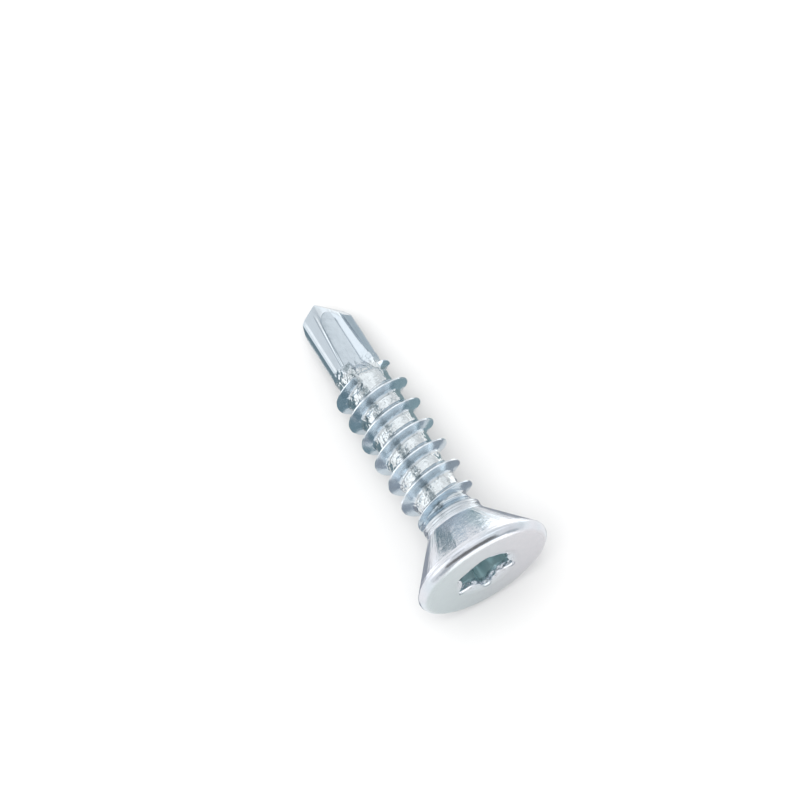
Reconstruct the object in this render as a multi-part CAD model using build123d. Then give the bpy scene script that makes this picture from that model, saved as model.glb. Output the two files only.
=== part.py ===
"""Self-drilling tapping screw, countersunk head, six-lobe recess, 4.2 x 19.

One forged and rolled piece of steel. It is drawn along +Z from the head face (z = 0)
to the drill apex, then laid down as it comes to rest: head rim and a thread crest on
z = 0, drill point towards +X. Millimetres and degrees. Angles about the axis count
from the screw's own +X, where one flute faces.
"""
import os
from math import atan2, ceil, cos, radians, sin, sqrt, tan

from build123d import *

# ---- driving dimensions ----
overall_length = 18.4            # head face to drill apex

head_diameter = 7.9              # crisp rim of the head
head_edge_height = 0.55          # face to rim
face_rounding = 0.46             # radial width of the rounding between face and rim
countersink_angle = 78.5         # included angle of the seat cone

seat_end_diameter = 3.78         # where the seat cone turns into the neck
ledge_diameter = 3.46            # small rolled lip under the seat
ledge_from_face = 3.66
ledge_width = 0.14
ledge_step = 0.07                # drop from the lip to the neck behind it
neck_length = 0.85               # lip to where the neck has come down to the thread root

root_diameter = 2.72
thread_diameter = 4.05
thread_pitch = 1.4
thread_start_from_face = 3.71
thread_length = 10.1
thread_start_angle = 160.0
thread_crest_width = 0.08
head_flank_angle = 22.0          # from the plane across the axis
tip_flank_angle = 26.0
foot_flank_angle = 50.0          # shallower foot of both flanks
foot_height = 0.13
fade_in_turns = 1.05             # crest grows out of the neck
fade_out_turns = 1.17            # crest sinks towards the drill point
ridge_bury = 0.15                # foot of the ridge, below the core's surface
crest_bury = 0.03                # both ends of the crest, below the surface

drill_diameter = 2.78
drill_body_length = 5.0          # apex to the thread core
drill_taper_length = 0.2         # core to drill body
point_angle = 80.0               # between the two point facets, across the lands
relief_angle = 29.0              # fall of each facet behind its lip
margin_offset = 1.15             # cutting edge of a land, from the plane through the axis
heel_at_tip = 0.95               # back edge of a land, from that same plane
heel_at_shank = 1.10
heel_bulge = 0.08
floor_edge = 0.50                # where a flute's floor turns up to the back of the land
floor_rise = 0.04                # from the inner corner to that edge
web_at_apex = 0.08               # metal between the flutes: thinned at the apex
web_at_tip = 0.50
web_at_shank = 0.80
corner_at_apex = 0.02            # inner corner of a flute, from the plane of the margins
corner_at_tip = 0.26
corner_at_shank = 0.54
thinned_length = 0.6
flute_length = 4.4
run_out_length = 1.05            # on the heel side the floor rises to the surface
wipe_angle = 52.0                # past the floor's end the last crest is wiped off
wipe_width = 0.95
wipe_overlap = 0.50              # of that width, beside the rising floor
wipe_skin = 0.012                # left above the core

recess_across_points = 3.95      # hexalobular size 20
recess_across_flats = 2.85
recess_lobe_radius = 0.305
recess_depth = 1.6               # straight walls
recess_floor_angle = 130.0       # conical floor, included
recess_bevel_diameter = 4.08
recess_bevel_depth = 0.18
recess_angle = 189.5             # direction of one lobe

rest_angle = 186.0               # side of the screw that faces the floor

# ---- derived ----
head_r = head_diameter / 2
face_flat_r = head_r - face_rounding
seat_slope = tan(radians(countersink_angle / 2))
seat_end_r = seat_end_diameter / 2
seat_end_z = head_edge_height + (head_r - seat_end_r) / seat_slope
ledge_r = ledge_diameter / 2
root_r = root_diameter / 2
thread_r = thread_diameter / 2
buried_r = root_r - ridge_bury
drill_r = drill_diameter / 2
drill_start_z = overall_length - drill_body_length
turns = thread_length / thread_pitch
clear = 1.0                      # how far cutters stand out of the metal
overshoot = 1.6                  # a flute's slanted walls, as a share of their true width
half_turn_points = 10            # per long edge of the ridge


def at(radius, z):
    """A point of the turned profile, in the XZ half plane."""
    return Vector(radius, 0, z)


def chain(points):
    """Straight edges from point to point."""
    return [Edge.make_line(a, b) for a, b in zip(points[:-1], points[1:])]


def make_blank():
    """Head, neck, thread core and drill body as one turned form."""
    ledge_back = ledge_from_face - ledge_width / 2
    ledge_front = ledge_from_face + ledge_width / 2
    groove = at(ledge_r - ledge_step / 3, ledge_back - ledge_step / 2)
    neck_top = at(ledge_r - ledge_step, ledge_front + ledge_step / 2)
    neck_end = at(root_r, ledge_front + neck_length)
    rounding = Edge.make_bezier(
        at(face_flat_r, 0), at(head_r, 0), at(head_r, head_edge_height),
        weights=[1, sqrt(0.5), 1])
    blend = Edge.make_tangent_arc(
        at(seat_end_r, seat_end_z), Vector(-seat_slope, 0, 1), groove)
    edges = [rounding]
    edges += chain([at(head_r, head_edge_height), at(seat_end_r, seat_end_z)])
    edges.append(blend)
    edges += chain([groove, at(ledge_r, ledge_back), at(ledge_r, ledge_front), neck_top])
    edges.append(Edge.make_tangent_arc(neck_end, Vector(0, 0, -1), neck_top))
    edges += chain([neck_end, at(root_r, drill_start_z - drill_taper_length / 2),
                    at(drill_r, drill_start_z + drill_taper_length / 2),
                    at(drill_r, overall_length + clear), at(0, overall_length + clear),
                    at(0, 0), at(face_flat_r, 0)])
    return Solid.revolve(Face(Wire(edges)), 360, Axis.Z)


def crest_radius(angle):
    """Crest radius, angle degrees after the start of the thread."""
    grown = min(1.0, angle / (360 * fade_in_turns))
    left = min(1.0, (360 * turns - angle) / (360 * fade_out_turns))
    neck_r = ledge_r - ledge_step - crest_bury
    end_r = root_r - crest_bury
    rise = grown * (1.4 - 0.4 * grown)     # steep out of the neck, then easing
    fall = 1 - (1 - left) ** 2
    return min(neck_r + (thread_r - neck_r) * rise, end_r + (thread_r - end_r) * fall)


def ridge_profile():
    """Offsets along the axis and radii of a full ridge, from foot to crest to foot."""
    upper = thread_r - root_r - foot_height
    lower = root_r + foot_height - buried_r
    sides = []
    for sign, flank in ((-1, head_flank_angle), (1, tip_flank_angle)):
        crest = thread_crest_width / 2
        knee = crest + upper * tan(radians(flank))
        foot = knee + lower * tan(radians(foot_flank_angle))
        sides.append([(sign * crest, thread_r), (sign * knee, root_r + foot_height),
                      (sign * foot, buried_r)])
    return sides[0][::-1] + sides[1]


def ridge_point(offset, radius, angle):
    """A point of the ridge; it shrinks towards its buried foot as the crest fades."""
    size = (crest_radius(angle) - buried_r) / (thread_r - buried_r)
    turn = radians(thread_start_angle + angle)
    r = buried_r + (radius - buried_r) * size
    z = thread_start_from_face + thread_pitch * angle / 360 + offset * size
    return Vector(r * cos(turn), r * sin(turn), z)


def ridge_edge(offset, radius, start, end):
    """One long edge of the ridge, between two angles."""
    step = (end - start) / half_turn_points
    points = [ridge_point(offset, radius, start + step * i) for i in range(half_turn_points + 1)]
    nudge = step / 400
    ends = [ridge_point(offset, radius, angle + nudge)
            - ridge_point(offset, radius, angle - nudge) for angle in (start, end)]
    return Edge.make_spline(points, tangents=ends)


def make_ridge():
    """The thread ridge: half turns of ruled strips, closed at both ends."""
    count = ceil(turns * 2)
    faces = []
    for i in range(count):
        start, end = 360 * turns * i / count, 360 * turns * (i + 1) / count
        edges = [ridge_edge(offset, radius, start, end) for offset, radius in ridge_profile()]
        loop = edges + edges[:1]
        faces += [Face.make_surface_from_curves(a, b) for a, b in zip(loop[:-1], loop[1:])]
    for angle in (0, 360 * turns):
        corners = [ridge_point(offset, radius, angle) for offset, radius in ridge_profile()]
        faces.append(Face(Wire(chain(corners + corners[:1]))))
    return Solid(Shell(faces))


def flute_section(z, web, corner, heel):
    """Outline of one flute across the drill: cutting wall, floor and back of the land."""
    margin = Vector(margin_offset, sqrt(drill_r ** 2 - margin_offset ** 2))
    inner = Vector(corner, web / 2)
    turn_up = Vector(-floor_edge, web / 2 + floor_rise)
    back = Vector(-heel, sqrt(drill_r ** 2 - heel ** 2))
    wall_out = inner + (margin - inner) * overshoot
    back_out = turn_up + (back - turn_up) * overshoot
    away = (back - turn_up).normalized()
    bulge = (turn_up + back) / 2 + Vector(-away.Y, away.X) * heel_bulge

    def place(p):
        return Vector(p.Y, -p.X, z)

    outline = [place(p) for p in (back, back_out, Vector(back_out.X, drill_r + clear),
                                  Vector(wall_out.X, drill_r + clear), wall_out, inner, turn_up)]
    arc = Edge.make_three_point_arc(place(turn_up), place(bulge), place(back))
    return Wire(chain(outline) + [arc])


def make_flute():
    """Cutter for one flute: thinned at the apex, then a web that thickens to the shank."""
    apex = (web_at_apex, corner_at_apex, heel_at_tip)
    return Solid.make_loft([
        flute_section(overall_length + clear, *apex),
        flute_section(overall_length, *apex),
        flute_section(overall_length - thinned_length, web_at_tip, corner_at_tip, heel_at_tip),
        flute_section(overall_length - flute_length, web_at_shank, corner_at_shank, heel_at_shank)
    ], True)


def make_run_out():
    """Cutter where the floor of a flute rises to the surface, beside the cutting wall's end."""
    end_z = overall_length - flute_length
    lap_z = end_z + run_out_length / 4
    out_z = end_z - run_out_length
    floor = web_at_shank / 2
    top = drill_r + clear
    side = Wire(chain([at(floor, lap_z), at(floor, end_z), at(drill_r, out_z),
                       at(top, out_z), at(top, lap_z), at(floor, lap_z)]))
    return Solid.extrude(Face(side), Vector(0, heel_at_shank, 0))


def make_wipe():
    """Cutter that takes the last crest off the core, between the floor's end and the heel."""
    far_z = overall_length - flute_length - run_out_length + wipe_overlap
    near_z = far_z - wipe_width
    near_r = root_r + wipe_skin
    far_r = drill_r + wipe_skin
    top = thread_r + clear
    side = Wire(chain([at(near_r, near_z), at(top, near_z), at(top, far_z),
                       at(far_r, far_z), at(near_r, near_z)]))
    return Solid.revolve(Face(side), wipe_angle, Axis.Z)


def make_facet(side):
    """Everything beyond one point facet; side is 1 or -1."""
    across = side / tan(radians(point_angle / 2))
    behind = side * tan(radians(relief_angle))
    facet = Plane(origin=(0, 0, overall_length), z_dir=(behind, across, 1))
    size = 4 * drill_diameter
    return facet * Box(size, size, size, align=(Align.CENTER, Align.CENTER, Align.MIN))


def six_lobe_wire():
    """Six-lobe outline: lobe arcs outside, flank arcs inside, tangent to each other."""
    lobe_r = recess_lobe_radius
    lobe_c = recess_across_points / 2 - lobe_r
    flat_r = recess_across_flats / 2
    c30 = cos(radians(30))
    flank_r = ((lobe_r ** 2 - lobe_c ** 2 - flat_r ** 2 + 2 * lobe_c * flat_r * c30)
               / (2 * flat_r - 2 * lobe_c * c30 - 2 * lobe_r))
    flank_c = flat_r + flank_r

    def polar(radius, angle):
        turn = radians(recess_angle + angle)
        return Vector(radius * cos(turn), radius * sin(turn))

    def touch(lobe, flank):
        centre = polar(lobe_c, lobe)
        return centre + (polar(flank_c, flank) - centre).normalized() * lobe_r

    edges = []
    for lobe in range(0, 360, 60):
        before = touch(lobe, lobe - 30)
        after = touch(lobe, lobe + 30)
        edges.append(Edge.make_three_point_arc(before, polar(lobe_c + lobe_r, lobe), after))
        edges.append(Edge.make_three_point_arc(
            after, polar(flat_r, lobe + 30), touch(lobe + 60, lobe + 30)))
    return Wire(edges)


def make_recess():
    """Cutter for the drive recess: lobed walls, conical floor and a shallow lead-in."""
    point_r = recess_across_points / 2
    floor = point_r / tan(radians(recess_floor_angle / 2))
    prism = Solid.extrude(Face(six_lobe_wire()), Vector(0, 0, recess_depth + floor))
    limit = Wire(chain([at(0, 0), at(point_r + clear, 0), at(point_r + clear, recess_depth),
                        at(point_r, recess_depth), at(0, recess_depth + floor), at(0, 0)]))
    lobes = prism.intersect(Solid.revolve(Face(limit), 360, Axis.Z)).solids()[0]
    bevel_r = recess_bevel_diameter / 2
    flat_r = recess_across_flats / 2
    lead_in = Wire(chain([at(0, 0), at(bevel_r, 0), at(flat_r, recess_bevel_depth),
                          at(0, recess_bevel_depth), at(0, 0)]))
    return [lobes, Solid.revolve(Face(lead_in), 360, Axis.Z)]


def resting_plane():
    """Frame of the laid-down screw: it leans on the head rim and the last full crest."""
    first_z = thread_start_from_face + thread_pitch * (rest_angle - thread_start_angle) / 360
    near_full_end_z = thread_start_from_face + thread_pitch * (turns - 0.7 * fade_out_turns)
    steps = int((near_full_end_z - first_z) / thread_pitch)
    crest_z = first_z + steps * thread_pitch + thread_crest_width / 2
    lean = atan2(head_r - thread_r, crest_z - head_edge_height)
    up_x = -cos(radians(rest_angle))
    up_y = -sin(radians(rest_angle))
    return Plane(origin=(0, 0, 0), x_dir=(up_x * sin(lean), up_y, up_x * cos(lean)),
                 z_dir=(cos(lean), 0, -sin(lean)))


def lay_down(screw):
    """Lay the screw along X, centred, with its lowest point on z = 0."""
    laid = screw.moved(resting_plane().location)
    box = laid.bounding_box()
    return laid.moved(Location((-box.center().X, -box.center().Y, -box.min.Z)))


def make_screw():
    cutters = make_recess()
    for side, turn in ((1, 0), (-1, 180)):
        cutters += [cutter.rotate(Axis.Z, turn)
                    for cutter in (make_flute(), make_run_out(), make_wipe())]
        cutters.append(make_facet(side))
    screw = make_blank().fuse(make_ridge()).cut(*cutters)
    return screw.solids().sort_by(SortBy.VOLUME)[-1]


if __name__ == "__main__":
    os.makedirs("parts", exist_ok=True)
    screw = lay_down(make_screw())
    screw.label = "screw"
    export_step(screw, "parts/screw.step")
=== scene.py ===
from math import asin, atan2, cos, radians, sin, sqrt, tan

import bpy
import numpy as np
from mathutils import Matrix, Vector


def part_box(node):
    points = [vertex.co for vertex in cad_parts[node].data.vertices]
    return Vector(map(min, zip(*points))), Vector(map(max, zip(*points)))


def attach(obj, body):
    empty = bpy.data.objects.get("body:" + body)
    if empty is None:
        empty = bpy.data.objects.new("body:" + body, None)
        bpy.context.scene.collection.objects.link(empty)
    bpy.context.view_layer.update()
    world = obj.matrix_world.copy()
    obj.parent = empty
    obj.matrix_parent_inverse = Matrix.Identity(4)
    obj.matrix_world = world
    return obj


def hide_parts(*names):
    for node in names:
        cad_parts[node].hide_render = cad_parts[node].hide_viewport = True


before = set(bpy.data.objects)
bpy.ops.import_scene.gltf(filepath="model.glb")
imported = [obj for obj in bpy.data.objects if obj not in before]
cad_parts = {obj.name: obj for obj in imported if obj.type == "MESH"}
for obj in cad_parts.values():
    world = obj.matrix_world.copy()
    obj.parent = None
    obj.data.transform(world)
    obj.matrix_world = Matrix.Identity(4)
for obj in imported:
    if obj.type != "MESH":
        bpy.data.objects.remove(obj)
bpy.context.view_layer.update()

# The screw is made standing on its head along +Z, in millimetres: head face at z = 0 and
# drill apex at z = length. It is laid down and turned into metres once it is finished.

millimetre = 0.001
columns = 240            # vertices round the screw
halfTurn = columns // 2  # one flute and one land

head = {
    "diameter": 7.9,
    "rimHeight": 0.55,
    "edgeRadius": 0.46,
    "taperFrom": 0.48,          # beyond this the rim tapers a little to the cone
    "edgeTaper": 0.055,
    "coneAngle": 78.5,
    "coneEndDiameter": 3.78,
}
recess = {
    "acrossPoints": 3.95,
    "acrossFlats": 2.85,
    "lobeRadius": 0.305,
    "depth": 1.6,
    "floorAngle": 130.0,
    "bevelDiameter": 4.08,
    "bevelDepth": 0.18,
    "leadDepth": 0.5,           # the walls lean out over this depth
    "leadWidth": 0.11,
    "burrAngle": 69.5,          # one lobe is partly filled below the face
    "burrWidth": 0.34,
    "burrStart": 0.09,          # depth over which the burr grows
    "angle": 189.5,             # direction of one lobe
}
neck = {
    "ledgeDiameter": 3.46,
    "ledgeFromFace": 3.66,
    "ledgeWidth": 0.14,
    "ledgeStep": 0.07,
    "length": 0.85,
}
thread = {
    "rootDiameter": 2.72,
    "diameter": 4.05,
    "pitch": 1.4,
    "startFromFace": 3.71,
    "length": 10.1,
    "startAngle": 160.0,
    "crestWidth": 0.08,
    "headFlank": 22.0,
    "tipFlank": 26.0,
    "footFlank": 50.0,
    "footHeight": 0.13,
    "ridgeBury": 0.15,
    "crestBury": 0.03,
    "fadeInTurns": 1.05,
    "fadeInBulge": 0.4,         # the crest grows faster at first
    "fadeOutTurns": 1.17,
    "rowStep": 0.05,            # spacing of the mesh rows along the screw
}
drill = {
    "apexFromFace": 18.4,
    "diameter": 2.78,
    "bodyLength": 5.0,
    "taperLength": 0.2,
    "pointAngle": 80.0,
    "reliefAngle": 29.0,
    "marginOffset": 1.15,
    "marginStrip": 0.20,        # narrow flat along each cutting edge
    "marginLift": 0.05,
    "shelfLift": 0.03,
    "stepHeight": 0.065,        # low step pressed along the foot of the cutting wall
    "stepRiser": 0.04,
    "stepShelf": 0.12,
    "heelAtTip": 1.0,
    "heelAtShank": 1.12,
    "heelSlope": 0.62,          # the heel rises evenly, then steeply at its edge
    "heelPower": 14,
    "foldHeight": 0.03,         # fine fold where the heel rises from the floor
    "floorEdge": 0.50,
    "floorRise": 0.04,
    "webAtApex": 0.08,
    "webAtTip": 0.50,
    "webAtShank": 0.80,
    "cornerAtTip": 0.26,
    "cornerAtShank": 0.54,
    "thinnedLength": 0.80,
    "thinnedMiddle": -0.16,     # the flute's front end is rounded
    "thinnedCurve": 1.64,
    "thinnedWallCurve": 3.0,
    "fluteLength": 4.4,
    "runOutLength": 1.05,
    "wipeWidth": 0.95,          # the last crest is wiped off beside the run-out
    "wipeOverlap": 0.5,
    "wallColumns": 8,           # columns spent on cutting wall, floor and heel
    "floorColumns": 52,
    "heelColumns": 14,
    "rows": 56,
    "tipRows": 10,
}

headRadius = head["diameter"] / 2
rootRadius = thread["rootDiameter"] / 2
threadRadius = thread["diameter"] / 2
drillRadius = drill["diameter"] / 2
apex = drill["apexFromFace"]
fluteEnd = apex - drill["fluteLength"]
turns = thread["length"] / thread["pitch"]
buriedRadius = rootRadius - thread["ridgeBury"]
neckTopRadius = neck["ledgeDiameter"] / 2 - neck["ledgeStep"]
neckTop = neck["ledgeFromFace"] + (neck["ledgeWidth"] + neck["ledgeStep"]) / 2
neckEnd = neck["ledgeFromFace"] + neck["ledgeWidth"] / 2 + neck["length"]
marginHeight = sqrt(drillRadius ** 2 - drill["marginOffset"] ** 2)
marginAngle = atan2(-drill["marginOffset"], marginHeight)
wallEnd = drill["wallColumns"]
floorEnd = wallEnd + drill["floorColumns"]
heelEnd = floorEnd + drill["heelColumns"]
cornerAngle = atan2(-drill["cornerAtShank"], drill["webAtShank"] / 2)
turnUpAngle = atan2(drill["floorEdge"], drill["webAtShank"] / 2 + drill["floorRise"])
heelAngle = asin(drill["heelAtShank"] / drillRadius)


def angleOfColumns():  # columns stand where the flutes' walls, floors and heels end
    half = np.interp(np.arange(halfTurn), [0, wallEnd, floorEnd, heelEnd, halfTurn],
                     [marginAngle, cornerAngle, turnUpAngle, heelAngle, marginAngle + np.pi])
    return np.concatenate([half, half + np.pi])


columnAngles = angleOfColumns()


def ringAt(radius, z):
    radius = np.broadcast_to(radius, columns)
    z = np.broadcast_to(z, columns)
    return np.stack([radius * np.cos(columnAngles), radius * np.sin(columnAngles), z], 1)


def lobedRadius():  # six lobe arcs joined by six flank arcs, tangent to each other
    lobeRadius = recess["lobeRadius"]
    lobeCentre = recess["acrossPoints"] / 2 - lobeRadius
    flat = recess["acrossFlats"] / 2
    c30 = cos(radians(30))
    flankRadius = ((lobeRadius ** 2 - lobeCentre ** 2 - flat ** 2 + 2 * lobeCentre * flat * c30)
                   / (2 * flat - 2 * lobeCentre * c30 - 2 * lobeRadius))
    flankCentre = flat + flankRadius
    away = np.array([flankCentre * c30 - lobeCentre, flankCentre * 0.5])
    touch = np.array([lobeCentre, 0]) + away / np.linalg.norm(away) * lobeRadius
    sector = radians(60)
    fold = np.mod(columnAngles - radians(recess["angle"]) + sector / 2, sector) - sector / 2
    fold = np.abs(fold)
    lobe = lobeCentre * np.cos(fold) + np.sqrt(
        np.maximum(0, lobeRadius ** 2 - (lobeCentre * np.sin(fold)) ** 2))
    across = sector / 2 - fold
    flank = flankCentre * np.cos(across) - np.sqrt(
        np.maximum(0, flankRadius ** 2 - (flankCentre * np.sin(across)) ** 2))
    return np.where(fold < atan2(touch[1], touch[0]), lobe, flank)


def recessRings():
    outline = lobedRadius()
    pointRadius = recess["acrossPoints"] / 2
    slope = tan(radians(recess["floorAngle"] / 2))
    bevelRadius = recess["bevelDiameter"] / 2
    flat = recess["acrossFlats"] / 2
    aside = np.mod(columnAngles - radians(recess["burrAngle"]) + np.pi, 2 * np.pi) - np.pi
    burr = recess["burrWidth"] * np.clip(1.6 - np.abs(aside) / radians(12), 0, 1)
    rings = []
    for share in (0.12, 0.35, 0.6, 0.82, 0.96, 1.0):      # conical floor
        radius = (outline - recess["leadWidth"] - burr) * share
        rings.append(ringAt(radius, recess["depth"] + (pointRadius - radius) / slope))
    deep = rings[-1][:, 2]
    lip = (bevelRadius - outline) / (bevelRadius - flat) * recess["bevelDepth"]
    for share in np.linspace(0, 1, 19)[1:]:                # walls, opening near the face
        depth = deep + (lip - deep) * share
        opened = np.clip(1 - (depth - lip) / recess["leadDepth"], 0, 1)
        grown = np.clip((depth - lip) / recess["burrStart"], 0, 1)
        inward = recess["leadWidth"] * (1 - opened) + burr * grown
        rings.append(ringAt(outline - inward, depth))
    for share in (0.5, 1.0):                               # shallow lead-in
        rings.append(ringAt(outline + (bevelRadius - outline) * share, lip * (1 - share)))
    return rings


def tangentArc(start, direction, end, steps):  # points after the start
    start, end = np.array(start), np.array(end)
    direction = np.array(direction) / np.linalg.norm(direction)
    normal = np.array([-direction[1], direction[0]])
    chord = end - start
    radius = chord @ chord / (2 * normal @ chord)
    centre = start + normal * radius
    first = atan2(*(start - centre)[::-1])
    sweep = atan2(*(end - centre)[::-1]) - first
    sweep = (sweep + np.pi) % (2 * np.pi) - np.pi
    angles = first + sweep * np.linspace(0, 1, steps + 1)[1:]
    return [centre + abs(radius) * np.array([cos(a), sin(a)]) for a in angles]


def headRings():
    edgeRadius = head["edgeRadius"]
    faceStart = recess["bevelDiameter"] / 2 + 0.02
    rings = [ringAt(r, 0) for r in np.linspace(faceStart, headRadius - edgeRadius, 8)]
    for turn in np.radians(np.linspace(0, 90, 13)[1:]):    # rounded face edge
        rings.append(ringAt(headRadius - edgeRadius * (1 - sin(turn)),
                            edgeRadius * (1 - cos(turn))))
    slope = tan(radians(head["coneAngle"] / 2))
    coneEnd = head["coneEndDiameter"] / 2
    coneEndZ = head["rimHeight"] + (headRadius - coneEnd) / slope
    edge = head["edgeTaper"]                               # slightly tapered rim edge
    for share in (0.08, 0.35, 0.7):
        rings.append(ringAt(headRadius - edge * slope * share, head["taperFrom"] + (
            head["rimHeight"] + edge - head["taperFrom"]) * share))
    for share in np.linspace(0, 1, 27):
        z = head["rimHeight"] + edge + (coneEndZ - head["rimHeight"] - edge) * share
        rings.append(ringAt(headRadius - (z - head["rimHeight"]) * slope, z))
    ledge = neck["ledgeDiameter"] / 2
    back = neck["ledgeFromFace"] - neck["ledgeWidth"] / 2
    front = neck["ledgeFromFace"] + neck["ledgeWidth"] / 2
    groove = (ledge - neck["ledgeStep"] / 3, back - neck["ledgeStep"] / 2)
    rings += [ringAt(*p) for p in tangentArc((coneEnd, coneEndZ), (-slope, 1), groove, 6)]
    rings += [ringAt(ledge, back), ringAt(ledge + 0.004, (back + front) / 2),
              ringAt(ledge, front), ringAt(neckTopRadius, neckTop)]
    return rings


# Rows of the neck and thread. Every row runs once round the screw.

def crestRadius(angle):  # degrees after the start of the thread
    grown = np.minimum(1, angle / (360 * thread["fadeInTurns"]))
    left = np.minimum(1, (360 * turns - angle) / (360 * thread["fadeOutTurns"]))
    first = neckTopRadius - thread["crestBury"]
    last = rootRadius - thread["crestBury"]
    rise = grown * (1 + thread["fadeInBulge"] * (1 - grown))
    fall = 1 - (1 - left) ** 2
    return np.minimum(first + (threadRadius - first) * rise,
                      last + (threadRadius - last) * fall)


def ridgeOffsets(size):  # foot, knee, crest, crest, knee, foot, along the screw
    kneeRadius = rootRadius + thread["footHeight"]
    surface = buriedRadius + thread["ridgeBury"] / size
    sides = []
    for sign, flank in ((-1, thread["headFlank"]), (1, thread["tipFlank"])):
        crest = thread["crestWidth"] / 2
        knee = crest + (threadRadius - kneeRadius) * tan(radians(flank))
        foot = knee + max(0.01, kneeRadius - surface) * tan(radians(thread["footFlank"]))
        sides.append([sign * crest * size, sign * knee * size, sign * foot * size])
    return sides[0][::-1] + sides[1]


def blankRadius(z):  # neck arc, core, and the step up to the drill body
    rise, run = neckTopRadius - rootRadius, neckEnd - neckTop
    arcRadius = (rise ** 2 + run ** 2) / (2 * rise)
    below = np.clip(neckEnd - z, 0, run)
    arc = rootRadius + arcRadius - np.sqrt(arcRadius ** 2 - below ** 2)
    drillStart = apex - drill["bodyLength"]
    half = drill["taperLength"] / 2
    core = np.interp(z, [drillStart - half, drillStart + half], [rootRadius, drillRadius])
    return np.maximum(arc, core)


def threadHeights():  # heights of the rows in each column, drawn onto the edges of the ridge
    low, high = neckTop + 0.015, fluteEnd
    count = round((high - low) / thread["rowStep"])
    startTurns = np.mod(np.degrees(columnAngles) - thread["startAngle"], 360)
    heights = np.empty((count + 1, columns))
    edgeRows = []
    for column in range(columns):
        rows, last = {}, 0
        for turn in range(int(turns) + 1):
            angle = startTurns[column] + 360 * turn
            if angle > 360 * turns:
                continue
            size = (crestRadius(angle) - buriedRadius) / (threadRadius - buriedRadius)
            middle = thread["startFromFace"] + thread["pitch"] * angle / 360
            for number, offset in enumerate(ridgeOffsets(size)):
                z = middle + offset
                if low + 0.02 < z < high - 0.02:
                    last = min(count - 1, max(last + 1, round((z - low) / thread["rowStep"])))
                    rows[turn, number] = (last, z)
        pins = sorted(rows.values())
        heights[:, column] = np.interp(
            np.arange(count + 1),
            [0] + [p[0] for p in pins] + [count], [low] + [p[1] for p in pins] + [high])
        edgeRows.append(rows)
    splits = {}
    for column in range(columns):
        beyond = (column + 1) % columns
        shift = 1 if startTurns[beyond] < startTurns[column] else 0
        for (turn, number), (row, z) in edgeRows[column].items():
            other = edgeRows[beyond].get((turn + shift, number))
            if other and other[0] == row + 1:
                splits[row, column] = "rising"
            elif other and other[0] == row - 1:
                splits[row - 1, column] = "falling"
    return heights, splits


# The drill point, drawn across the screw: "across" runs from a flute's heel to its cutting
# edge, and "up" points out of the flute.

pointSlope = 1 / tan(radians(drill["pointAngle"] / 2))
reliefSlope = tan(radians(drill["reliefAngle"]))


def spread(start, end, share):
    return start + (end - start) * share


def fluteOutline(z):  # one flute and its land, each column at its own height
    column = np.arange(halfTurn)
    cornerAtApex = drill["webAtApex"] / 2 * reliefSlope / pointSlope
    lean = np.tan(spread(cornerAngle, turnUpAngle,
                         np.clip((column - wallEnd) / drill["floorColumns"], 0, 1)))
    lean = (lean - lean.min()) / (lean.max() - lean.min())
    aside = drill["cornerAtTip"] - lean * (drill["cornerAtTip"] + drill["floorEdge"])
    aside = np.where(column > floorEnd, -0.5 - 0.04 * (column - floorEnd), aside)
    aside = np.clip(aside, -0.9, 0.3) - drill["thinnedMiddle"]
    curve = np.where(aside < 0, drill["thinnedCurve"], drill["thinnedWallCurve"])
    thinned = apex - drill["thinnedLength"] - curve * aside ** 2

    def along(atShank, atTip, atApex):
        share = np.clip((z - fluteEnd) / (thinned - fluteEnd), 0, 1)
        beyond = np.clip((z - thinned) / (apex - thinned), 0, 1)
        return atShank + (atTip - atShank) * share + (atApex - atTip) * beyond

    web = along(drill["webAtShank"], drill["webAtTip"], drill["webAtApex"]) / 2
    corner = along(drill["cornerAtShank"], drill["cornerAtTip"], cornerAtApex)
    heel = along(drill["heelAtShank"], drill["heelAtTip"], drill["heelAtTip"])
    heelUp = np.sqrt(drillRadius ** 2 - heel ** 2)
    turnUp = web + drill["floorRise"]

    whole = drill["marginOffset"] - corner
    strip = drill["marginStrip"] / whole
    shelf = 1 - drill["stepShelf"] / whole
    riser = 1 - drill["stepRiser"] / whole
    share = np.select([column < 1, column <= wallEnd - 2, column == wallEnd - 1],
                      [0, strip + (shelf - strip) * (column - 1) / (wallEnd - 3), riser], 1)
    fade = np.clip((apex - 0.9 - z) / 1.2, 0.15, 1)
    lift = drill["shelfLift"] + (drill["marginLift"] - drill["shelfLift"]) * (
        (shelf - share) / (shelf - strip))
    lift = np.where(column < 1, 0, lift)
    lift = np.where(column == wallEnd - 1, drill["stepHeight"] * fade, lift)
    lift = np.where(column >= wallEnd, 0, lift)
    across = spread(drill["marginOffset"], corner, share)
    up = spread(marginHeight, web, share) + lift

    onFloor = (column > wallEnd) & (column <= floorEnd)
    across = np.where(onFloor, spread(corner, -drill["floorEdge"], lean), across)
    up = np.where(onFloor, spread(web, turnUp, lean), up)

    share = np.clip((column - floorEnd) / drill["heelColumns"], 0, 1)
    even = drill["heelSlope"] * (heel - drill["floorEdge"]) / (heelUp - turnUp)
    rise = even * share + (1 - even) * share ** drill["heelPower"]
    onHeel = (column > floorEnd) & (column <= heelEnd)
    across = np.where(onHeel, spread(-drill["floorEdge"], -heel, share), across)
    fold = np.where(column == floorEnd + 1, drill["foldHeight"] * fade, 0)
    up = np.where(onHeel, spread(turnUp, heelUp, rise) + fold, up)

    share = np.clip((column - heelEnd) / (halfTurn - heelEnd), 0, 1)
    turn = spread(np.arctan2(heel, heelUp), marginAngle + np.pi, share)
    onLand = column > heelEnd
    across = np.where(onLand, -drillRadius * np.sin(turn), across)
    up = np.where(onLand, drillRadius * np.cos(turn), up)
    return across, up


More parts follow.
